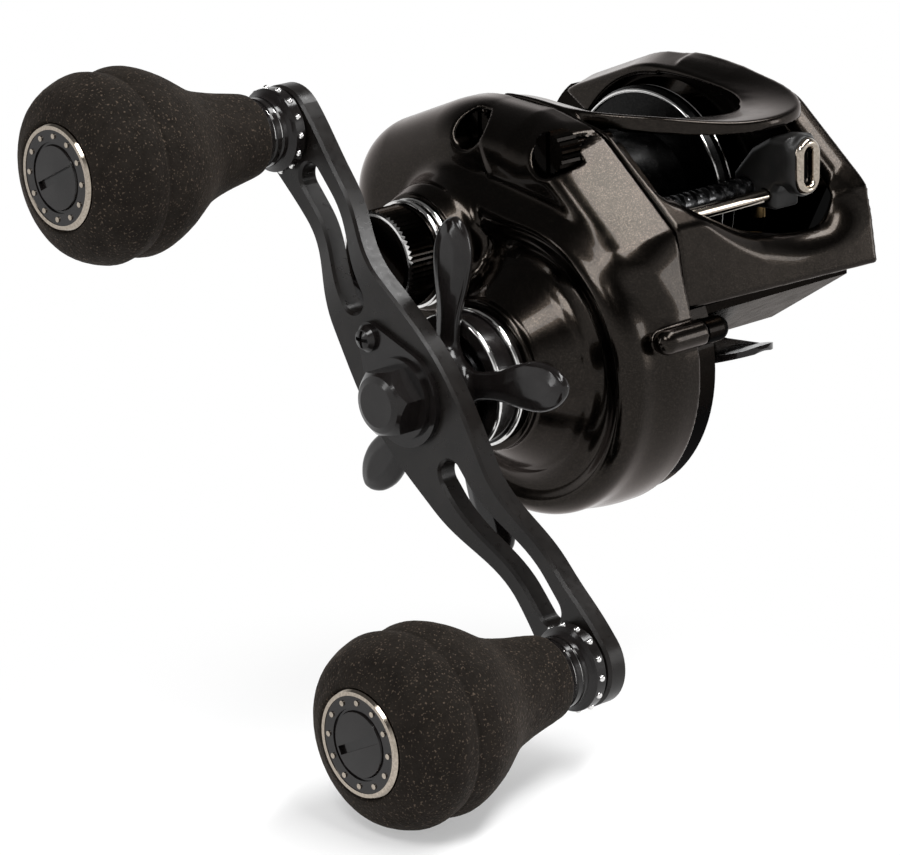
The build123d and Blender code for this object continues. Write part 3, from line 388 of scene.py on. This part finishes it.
def taper(first, first_r, second, second_r, u, v):
    """Distance to the outline wrapped round two circles."""
    along = np.subtract(second, first)
    length = np.hypot(*along)
    along = along / length
    p = (u - first[0]) * along[0] + (v - first[1]) * along[1]
    q = np.abs((v - first[1]) * along[0] - (u - first[0]) * along[1])
    lean = (first_r - second_r) / length
    rise = math.sqrt(1 - lean * lean)
    k = p * rise - q * lean
    side = q * rise + p * lean - first_r
    return np.where(k < 0, np.hypot(p, q) - first_r,
                    np.where(k > length * rise, np.hypot(p - length, q) - second_r, side))


def rod(x, radial, radius, start, end):
    """Distance to a cylinder along X."""
    return np.maximum(radial - radius, np.maximum(start - x, x - end))


def away_from(axis, y, z):
    """Distance from an axis along X."""
    return np.hypot(y - axis[0], z - axis[1])


def curve(points, steps=8):
    return [tuple(p) for p in smooth_line(points, steps)]


def ease(value):
    """Smooth step from 0 to 1."""
    value = np.clip(value, 0, 1)
    return value * value * (3 - 2 * value)


def sculpt(name, low, high, step, field_of):
    """Mesh of the zero surface of a field, with its points and normals taken from the field."""
    axes = [np.arange(a, b + step, step) for a, b in zip(low, high)]
    field = field_of(axes[0][:, None, None], axes[1][None, :, None], axes[2][None, None, :])
    inside = field < 0
    cells = np.array(field.shape) - 1
    number = np.full(cells, -1)
    total = np.zeros((*cells, 3))
    count = np.zeros(cells)
    quads = []
    for axis in range(3):
        lower = tuple(slice(None, -1) if a == axis else slice(None) for a in range(3))
        upper = tuple(slice(1, None) if a == axis else slice(None) for a in range(3))
        at = np.argwhere(inside[lower] != inside[upper])
        at = at[((at > 0) & (at < cells)).all(axis=1)]
        a, b = field[lower][tuple(at.T)], field[upper][tuple(at.T)]
        place = at.astype(float)
        place[:, axis] += a / (a - b)
        first, second = (axis + 1) % 3, (axis + 2) % 3
        ring = []
        for i, j in ((0, 0), (1, 0), (1, 1), (0, 1)):
            cell = at.copy()
            cell[:, first] -= i
            cell[:, second] -= j
            np.add.at(total, tuple(cell.T), place)
            np.add.at(count, tuple(cell.T), 1)
            ring.append(cell)
        ring = np.stack(ring, axis=1)
        ring[a > 0] = ring[a > 0][:, ::-1]
        quads.append(ring.reshape(-1, 3))
    used = np.argwhere(count > 0)
    number[tuple(used.T)] = np.arange(len(used))
    places = total[tuple(used.T)] / count[tuple(used.T)][:, None]
    slopes = np.gradient(field)

    def sample(values):
        base = np.clip(np.floor(places).astype(int), 0, cells - 1)
        part = places - base
        result = 0.0
        for i in (0, 1):
            for j in (0, 1):
                for k in (0, 1):
                    weight = np.abs(1 - np.array((i, j, k)) - part).prod(axis=1)
                    result = result + weight * values[base[:, 0] + i, base[:, 1] + j, base[:, 2] + k]
        return result

    for _ in range(3):
        slope = np.stack([sample(s) for s in slopes], axis=1)
        move = sample(field)[:, None] * slope / np.maximum((slope ** 2).sum(axis=1), 1e-9)[:, None]
        places = places - np.clip(move, -0.4, 0.4)
    slope = np.stack([sample(s) for s in slopes], axis=1)
    slope /= np.maximum(np.linalg.norm(slope, axis=1), 1e-9)[:, None]
    data = bpy.data.meshes.new(name)
    corners = number[tuple(np.concatenate(quads).T)].reshape(-1, 4)
    data.from_pydata(((np.array(low) + places * step) * MM).tolist(), [], corners.tolist())
    data.shade_smooth()
    data.normals_split_custom_set_from_vertices(slope.tolist())
    obj = bpy.data.objects.new(name, data)
    bpy.context.scene.collection.objects.link(obj)
    return obj


BODY_OF = {node: body for body, members in frame["record"]["behaviour"]["bodies"].items() for node in members}

# Side cover: the seam with the frame, axes as (Y, Z), housing radii and the faces' X

SEAM = 21.0
SPOOL_YZ = (SPOOL.y, SPOOL.z)
DRIVE_YZ = (DRIVE.y, DRIVE.z)
WORM_YZ = (26.4, 28.4)
BARREL_YZ = (41.7, 12.7)
REAR_YZ = (-17.5, 25.5)
SPOOL_HOUSING_R = 22.7
GEAR_HOUSING_R = 25.5
REAR_R = 14.0
PAD_R = 12.0
COVER_FACE = 33.0
PAD_FACE = 37.0
DOME_R = 9.4
SLOPE_R = 5.0
SEAM_R = 0.25
BARREL_R = 2.1
BARREL_END = 28.7
GROOVE_R = 20.2
GROOVE_FACE = 38.3
GROOVE_HALF = 2.6
SEATS = (((-0.3, 40.9), 3.1), ((18.4, 39.9), 3.8))
SEAT_FLOOR = 27.0
FACET_POINT = (SEAM, 28.9, 35.2)
FACET_NORMAL = (0.3, 0.611, 0.733)

# Line of the front from the top to the lower edge, as (Y, Z), with the radii of a closed outline's corners

FRONT = [(-2.0, 44.9), (9.5, 44.3), (21.0, 41.8), (36.8, 28.6), (38.9, 15.7)]
FRONT_RADII = [0, 0, 8.0, 2.5, 0.6, 0, 0]

# Profiles of the cone and the cast control boss, as (radius, X), and the bores, as (axis, radius, start, end)

CONE = [(0, 20), (17.1, 20), (17.1, 37.2), (12.4, 43.0), (12.4, 44.6), (0, 44.6)]
CAST_BOSS = [(0, 20), (10.8, 20), (10.8, 39.0), (9.6, 41.4), (8.2, 41.4), (8.2, 44.2), (0, 44.2)]
BORES = [(DRIVE_YZ, 9.0, 38.8, 60), (DRIVE_YZ, 6.2, 30, 60), (SPOOL_YZ, 9.0, 0, 37.8),
         (SPOOL_YZ, 2.6, 30, 60), (SPOOL_YZ, 4.0, 38.9, 60), (WORM_YZ, 4.3, 0, 26.3)]


def cover_field(x, y, z):
    """Gear side cover: dome, flat front slope, gearbox pad, cone, cast control boss, barrel, seats, bores."""
    front = polygon_distance(soft_corners(FRONT + [DRIVE_YZ, SPOOL_YZ], FRONT_RADII), y[0], z[0])[None]
    outline = np.minimum(taper(SPOOL_YZ, SPOOL_HOUSING_R, DRIVE_YZ, GEAR_HOUSING_R, y, z), front)
    outline = np.minimum(outline, taper(REAR_YZ, REAR_R, DRIVE_YZ, GEAR_HOUSING_R, y, z))
    outline = np.minimum(outline, taper(SPOOL_YZ, SPOOL_HOUSING_R, REAR_YZ, REAR_R, y, z))
    pad = taper(SPOOL_YZ, PAD_R, DRIVE_YZ, GEAR_HOUSING_R, y, z)
    drive_r = away_from(DRIVE_YZ, y, z)
    slope = np.clip((y - 12.0) / 12.0, 0, 1) * np.clip((z - 16.0) / 10.0, 0, 1)
    body = rounded_max(outline, x - COVER_FACE, DOME_R - (DOME_R - SLOPE_R) * ease(slope))
    facet = sum(n * (axis - at) for n, axis, at in zip(FACET_NORMAL, (x, y, z), FACET_POINT))
    body = rounded_max(body, facet, 2.2)
    body = filleted_min(body, rounded_max(pad, x - PAD_FACE, 4.2), 2.6)
    body = carve(body, np.hypot(drive_r - GROOVE_R, x - GROOVE_FACE) - GROOVE_HALF, 1.2)
    body = filleted_min(body, polygon_distance(CONE, drive_r, x), 1.0)
    body = filleted_min(body, polygon_distance(CAST_BOSS, away_from(SPOOL_YZ, y, z), x), 1.8)
    barrel_r = away_from(BARREL_YZ, y, z)
    barrel = np.hypot(barrel_r, np.maximum(x - BARREL_END, 0)) - BARREL_R
    body = filleted_min(body, barrel, 0.4)
    for seat, radius in SEATS:
        body = carve(body, rod(x, away_from(seat, y, z), radius, SEAT_FLOOR, 60), 0.4)
        body = np.maximum(body, -rod(x, away_from(seat, y, z), 1.6, 0, 60))
    body = rounded_max(body, SEAM - x, SEAM_R)
    hollow = np.minimum(np.maximum(outline + 2.4, x - 25.5), np.maximum(pad + 2.0, x - 34.6))
    for axis, radius, start, end in BORES:
        hollow = np.minimum(hollow, rod(x, away_from(axis, y, z), radius, start, end))
    return np.maximum(body, -hollow)


# Thumb rest: rows across its top, as (Y, height, depth of the hollow, its middle and its half width)

TOP_ROWS = [(-2.0, 44.9, 2.5, 1.0, 20.6), (5.0, 45.0, 3.3, 1.0, 20.6), (12.3, 44.8, 3.9, 0.6, 19.9),
            (19.8, 43.9, 2.6, -1.4, 17.4), (26.6, 42.9, 1.4, -3.9, 14.2), (31.2, 42.4, 0.6, -5.0, 9.5),
            (36.0, 41.4, 0.2, -5.0, 9.5)]

# Seen from above, as (X, Y): the edge of the thumb rest, and the spool's opening

NOSE = [(21.4, -40.0), (21.4, -20.0), (21.4, 0.0), (20.4, 9.0), (18.6, 16.0), (13.4, 23.6), (7.4, 29.2),
        (0.0, 32.7), (-8.0, 33.2), (-14.6, 30.6), (-18.8, 23.0), (-20.6, 10.0), (-21.4, 0.0),
        (-21.4, -20.0), (-21.4, -40.0)]
OPENING = [(13.8, -40.0), (13.8, -10.0), (13.8, 8.0), (12.4, 17.6), (7.0, 21.0), (-1.0, 21.4),
           (-8.6, 20.8), (-12.6, 16.0), (-14.2, 4.0), (-14.6, -10.0), (-14.6, -40.0)]

# Front window, as (X, Z): at the front of the lip, and further in, with the stretch of Y between them

LIP_FRONT = [(20.0, 60.0), (20.0, 36.0), (16.6, 31.3), (12.2, 28.3), (6.6, 25.4), (0.8, 23.5),
             (-5.2, 22.3), (-10.9, 22.6), (-15.8, 23.9), (-19.0, 26.4), (-19.9, 30.0), (-17.0, 60.0)]
LIP_BACK = [(19.8, 60.0), (19.8, 36.0), (16.2, 31.6), (11.8, 28.6), (5.4, 25.6), (0.0, 24.2),
            (-5.0, 23.2), (-9.4, 22.9), (-12.8, 23.4), (-15.0, 27.0), (-15.6, 33.0), (-14.0, 60.0)]
LIP_START = 33.0
LIP_DEPTH = 6.0

# Inside of the hood, as (Y, Z), how far its far side stands forward, and where the rims behind the spool end

INNER = [(-2.0, 43.0), (9.5, 42.0), (20.2, 39.3), (33.4, 27.4), (34.6, 8.0), (-2.0, 8.0)]
INNER_RADII = [0, 0, 6.0, 2.0, 0, 0]
FAR_LEAN = 3.1
RIM_R = 19.8
SPOOL_ROOM_R = 19.6
LOOP_END = math.radians(148.0)

# Level-wind: the eye's middle at rest, the rod's axis, the carriage's side as (Y, Z), and its path along X

GUIDE = Vector((-9.0, 37.2, 33.5))
ROD_YZ = (30.8, 28.2)
CARRIAGE = [(23.6, 25.4), (23.6, 31.0), (27.5, 35.6), (31.6, 38.0), (35.4, 38.4), (36.5, 36.6),
            (36.5, 30.6), (33.4, 30.0), (32.6, 28.8), (32.6, 26.0)]
PATH_MIDDLE = 0.25
PATH_HALF = 13.8
PATH_GAP = 0.4


def hood_field(x, y, z):
    """The hood: thumb rest, rims behind the spool, posts and front lip, open for the spool and the line."""
    lean = y - FAR_LEAN * (SEAM - x) / (2 * SEAM)
    rows = np.array(TOP_ROWS)
    crest, hollow, middle, half = (np.polyval(np.polyfit(rows[:, 0], rows[:, i], 4), y) for i in (1, 2, 3, 4))
    top = crest + hollow * (np.minimum(((x - middle) / np.maximum(half, 8.0)) ** 2, 1.4) - 1)
    skin = polygon_distance(soft_corners(FRONT + [(30.0, 15.7), (-2.0, 30.0)], FRONT_RADII), lean, z)
    inner = polygon_distance(soft_corners(INNER, INNER_RADII), lean, z)
    across = np.clip((lean - LIP_START) / LIP_DEPTH, 0, 1)
    back = polygon_distance(curve(LIP_BACK), x[:, 0], z[0])[:, None, :]
    outer = polygon_distance(curve(LIP_FRONT), x[:, 0], z[0])[:, None, :]
    window = (1 - across) * back + across * outer
    roll = 0.9 + 3.1 * np.clip((SEAM - x) / 18.0, 0, 1)
    lip = rounded_max(carve(skin, window, roll), -inner, 0.5)
    nose = polygon_distance(curve(NOSE), x[:, :, 0], y[:, :, 0])[:, :, None]
    sole = crest - 2.2 - 1.4 * np.clip((x + 4.0) / 25.0, -1, 1) ** 2
    spool_r = away_from(SPOOL_YZ, y, z)
    first_y, _, fall, tilt, reach = TOP_ROWS[0]
    behind = taper(SPOOL_YZ, SPOOL_HOUSING_R, REAR_YZ, REAR_R, y, z) + fall * (1 - ((x - tilt) / reach) ** 2)
    over = behind + ease((y + 6.0) / 7.0) * (z - top - behind)
    under = np.where(y < first_y, RIM_R - spool_r, sole - z)
    rest = rounded_max(rounded_max(nose, over, 0.7), under, 0.5)
    hood = filleted_min(np.maximum(lip, z - top), rest, 1.2)
    opening = polygon_distance(curve(OPENING), x[:, :, 0], y[:, :, 0])[:, :, None]
    hood = carve(hood, opening, 0.8)
    hood = np.maximum(hood, -rod(x, spool_r, SPOOL_ROOM_R, -16.0, 16.0))
    carriage = polygon_distance(CARRIAGE, y[0], z[0])[None]
    path = np.maximum(carriage - PATH_GAP, np.abs(x - PATH_MIDDLE) - PATH_HALF)
    hood = np.maximum(hood, -path)
    for seat, _ in SEATS:
        hood = np.maximum(hood, -rod(x, away_from(seat, y, z), 1.5, 10, 30))
    past = (z - SPOOL_YZ[1]) * math.cos(LOOP_END) - (y - SPOOL_YZ[0]) * math.sin(LOOP_END)
    return rounded_max(np.maximum(hood, past), np.abs(x) - SEAM, SEAM_R)


def eye_distance(x, z):
    """Distance from the middle line of the upright eye."""
    return np.hypot(x - GUIDE.x, np.maximum(np.abs(z - GUIDE.z) - 2.0, 0))


def eye_field(x, y, z):
    """Polished ring that the line runs through."""
    return np.hypot(eye_distance(x, z) - 1.9, (y - GUIDE.y + 0.5) * 0.7) - 0.85


def carriage_field(x, y, z):
    """Carriage with a cheek round the eye, bored for the worm, the rod and the pawl."""
    side = polygon_distance(CARRIAGE, y[0], z[0])[None]
    body = rounded_max(side, np.abs(x - GUIDE.x) - 3.4, 1.1)
    cheek = rounded_max(eye_distance(x, z) - 3.1, np.abs(y - 35.6) - 1.5, 0.8)
    body = filleted_min(body, cheek, 0.6)
    body = carve(body, eye_distance(x, z) - 1.5, 0.3)
    body = np.maximum(body, -rod(x, away_from(WORM_YZ, y, z), 2.3, -30, 30))
    body = np.maximum(body, -rod(x, away_from(ROD_YZ, y, z), 1.2, -30, 30))
    pin = np.maximum(np.hypot(x - GUIDE.x, y - WORM_YZ[0]) - 1.25, z - WORM_YZ[1] + 0.5)
    return np.maximum(body, -pin)


# Star wheel: the turn of its first arm, and half an arm's outline, as (radius, half width)

STAR_ANGLE = math.radians(11.0)
STAR_ARMS = 5
ARM_X = 52.2
HUB_X = 53.95
PETAL = [(4.0, 2.6), (9.0, 2.3), (13.0, 2.5), (18.0, 3.6), (22.0, 4.0), (25.4, 3.2), (27.6, 1.6), (28.4, 0.0)]


def star_field(x, y, z):
    """Five arms on a hub, bored for the nut inside it."""
    radial = away_from(DRIVE_YZ, y, z)
    turn = np.arctan2(z - DRIVE.z, y - DRIVE.y) - STAR_ANGLE
    share = 2 * math.pi / STAR_ARMS
    turn = (turn + share / 2) % share - share / 2
    side = curve(PETAL, 6)
    plan = side + [(p, -q) for p, q in side[-2::-1]]
    petal = polygon_distance(plan, (radial * np.cos(turn))[0], (radial * np.sin(turn))[0])[None]
    half = 0.75 + 0.3 * np.clip(-petal, 0, 2.2)
    petal = rounded_max(petal, np.abs(x - ARM_X) - half, 0.6)
    hub = rounded_max(radial - 7.0, np.abs(x - HUB_X) - 2.4, 0.7)
    return np.maximum(filleted_min(hub, petal, 1.6), 5.25 - radial)


# Each casting with its node, the corners of its grid, the grid's step and its field

CASTINGS = [
    ("side_cover_casting", "gear_side_cover", (20.2, -32.6, -21.2), (45.4, 45.2, 46.6), 0.38, cover_field),
    ("hood_casting", "front_hood", (-21.7, -31.0, 14.6), (21.7, 43.4, 46.8), 0.36, hood_field),
    ("star_casting", "star_drag", (50.4, -14.0, -24.0), (57.0, 45.0, 35.0), 0.3, star_field),
    ("guide_carriage", "line_guide", (-13.2, 23.0, 24.6), (-4.8, 38.0, 39.4), 0.2, carriage_field),
    ("guide_eye", "guide_ring", (-12.4, 34.8, 28.0), (-5.6, 38.6, 39.0), 0.12, eye_field),
]
for name, node, low, high, step, field_of in CASTINGS:
    casting = sculpt(name, low, high, step, field_of)
    part = next(p for p in frame["record"]["subparts"] if p["node"] == node)
    dress(casting, nodes[node].data.materials[0])
    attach(casting, BODY_OF[node])
    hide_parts(node)


# Stage

def largest(tree, *sources):
    """Greatest of several outputs."""
    value = sources[0]
    for source in sources[1:]:
        node = tree.nodes.new("ShaderNodeMath")
        node.operation = "MAXIMUM"
        tree.links.new(value, node.inputs[0])
        tree.links.new(source, node.inputs[1])
        value = node.outputs[0]
    return value


def background(tree, strength):
    node = tree.nodes.new("ShaderNodeBackground")
    node.inputs["Color"].default_value = (1.0, 1.0, 1.0, 1.0)
    node.inputs["Strength"].default_value = strength
    return node.outputs[0]


def blend(tree, factor, first, second):
    node = tree.nodes.new("ShaderNodeMixShader")
    tree.links.new(factor, node.inputs[0])
    tree.links.new(first, node.inputs[1])
    tree.links.new(second, node.inputs[2])
    return node.outputs[0]


def shown_rays(tree):
    """One for the rays whose end is seen: straight, in a mirror or through glass."""
    path = tree.nodes.new("ShaderNodeLightPath")
    return largest(tree, *(path.outputs[f"Is {ray} Ray"] for ray in ("Camera", "Glossy", "Transmission")))


# World: an even level for the light, white where it is seen, and a dark ceiling in mirrors

AMBIENT = 0.26
CEILING = 0.12
CEILING_START = 0.25
CEILING_FULL = 0.55

world = bpy.data.worlds.new("studio")
bpy.context.scene.world = world
world.use_nodes = True
sky = world.node_tree
sky.nodes.clear()
place = sky.nodes.new("ShaderNodeTexCoord")
height = sky.nodes.new("ShaderNodeSeparateXYZ")
sky.links.new(place.outputs["Generated"], height.inputs[0])
climb = sky.nodes.new("ShaderNodeMapRange")
climb.inputs["From Min"].default_value = CEILING_START
climb.inputs["From Max"].default_value = CEILING_FULL
sky.links.new(height.outputs["Z"], climb.inputs["Value"])
white = background(sky, 1.0)
mirrored = blend(sky, climb.outputs["Result"], white, background(sky, CEILING))
path = sky.nodes.new("ShaderNodeLightPath")
shown = blend(sky, path.outputs["Is Glossy Ray"], white, mirrored)
sky_out = sky.nodes.new("ShaderNodeOutputWorld")
sky.links.new(blend(sky, shown_rays(sky), background(sky, AMBIENT), shown), sky_out.inputs["Surface"])

# Floor: white paper that keeps the shadow under the lower knob and turns plain white away from it

FLOOR_SIZE = 6.0
FLOOR_GAP = 0.0004
CONTACT = (0.09, 0.049, 0.0)
SHADOW_REACH = 0.1
SHADOW_WHITE = 0.4

bpy.ops.mesh.primitive_plane_add(size=FLOOR_SIZE, location=(0, 0, cad_box[0][2] - FLOOR_GAP))
floor = bpy.context.object
floor.name = "floor"
paper = bpy.data.materials.new("white_paper")
paper.use_nodes = True
tree = paper.node_tree
tree.nodes.clear()
matt = tree.nodes.new("ShaderNodeBsdfDiffuse")
matt.inputs["Color"].default_value = (0.92, 0.92, 0.92, 1.0)
glow = tree.nodes.new("ShaderNodeEmission")
glow.inputs["Color"].default_value = (1.0, 1.0, 1.0, 1.0)
glow.inputs["Strength"].default_value = 1.0
spot = tree.nodes.new("ShaderNodeTexCoord")
away = tree.nodes.new("ShaderNodeVectorMath")
away.operation = "DISTANCE"
away.inputs[1].default_value = CONTACT
tree.links.new(spot.outputs["Object"], away.inputs[0])
whiten = tree.nodes.new("ShaderNodeMapRange")
whiten.interpolation_type = "SMOOTHSTEP"
whiten.inputs["From Min"].default_value = 0.0
whiten.inputs["From Max"].default_value = SHADOW_REACH
whiten.inputs["To Min"].default_value = SHADOW_WHITE
whiten.inputs["To Max"].default_value = 1.0
tree.links.new(away.outputs["Value"], whiten.inputs["Value"])
share = tree.nodes.new("ShaderNodeMath")
share.operation = "MULTIPLY"
tree.links.new(shown_rays(tree), share.inputs[0])
tree.links.new(whiten.outputs["Result"], share.inputs[1])
paper_out = tree.nodes.new("ShaderNodeOutputMaterial")
tree.links.new(blend(tree, share.outputs[0], matt.outputs[0], glow.outputs[0]), paper_out.inputs["Surface"])
dress(floor, paper)


def softbox(name, place, aim, width, height, radiance):
    """Soft rectangular lamp, with its place and size in metres."""
    light = bpy.data.lights.new(name, "AREA")
    light.shape = "RECTANGLE"
    light.size = width
    light.size_y = height
    light.energy = radiance * math.pi * width * height
    lamp = bpy.data.objects.new(name, light)
    lamp.location = place
    lamp.rotation_euler = (Vector(aim) - Vector(place)).to_track_quat("-Z", "Y").to_euler()
    bpy.context.scene.collection.objects.link(lamp)


softbox("overhead", (-0.13, 0.23, 0.62), (-0.02, 0.03, 0.03), 0.86, 0.16, 14.5)
softbox("key", (0.42, 0.21, 0.5), (0.04, 0.015, 0.005), 0.2, 0.2, 14.0)
softbox("front_left", (0.75, -0.3, 0.25), (0.03, 0.0, 0.02), 0.1, 0.5, 6.0)
softbox("front_right", (-0.6, 0.6, 0.12), (0.0, 0.0, 0.02), 0.14, 0.36, 7.0)


# Camera at the photo's angle, from the circles in the photo: its axes, its place in millimetres and its lens

RIGHT = Vector((-0.73257, 0.68025, -0.02443))
UP = Vector((-0.21956, -0.20217, 0.95442))
BACK = Vector((0.64431, 0.70455, 0.29746))
CAMERA_PLACE = Vector((446.88, 448.04, 180.97))
FOCAL_LENGTH = 154.47
lens = bpy.data.cameras.new("camera")
lens.sensor_width = 36.0
lens.lens = FOCAL_LENGTH
lens.clip_start = 0.01
camera = bpy.data.objects.new("camera", lens)
turn = Matrix((RIGHT, UP, BACK)).transposed()
camera.matrix_world = Matrix.Translation(CAMERA_PLACE * MM) @ turn.to_4x4()
bpy.context.scene.collection.objects.link(camera)
bpy.context.scene.camera = camera
bpy.context.scene.view_settings.view_transform = "Standard"
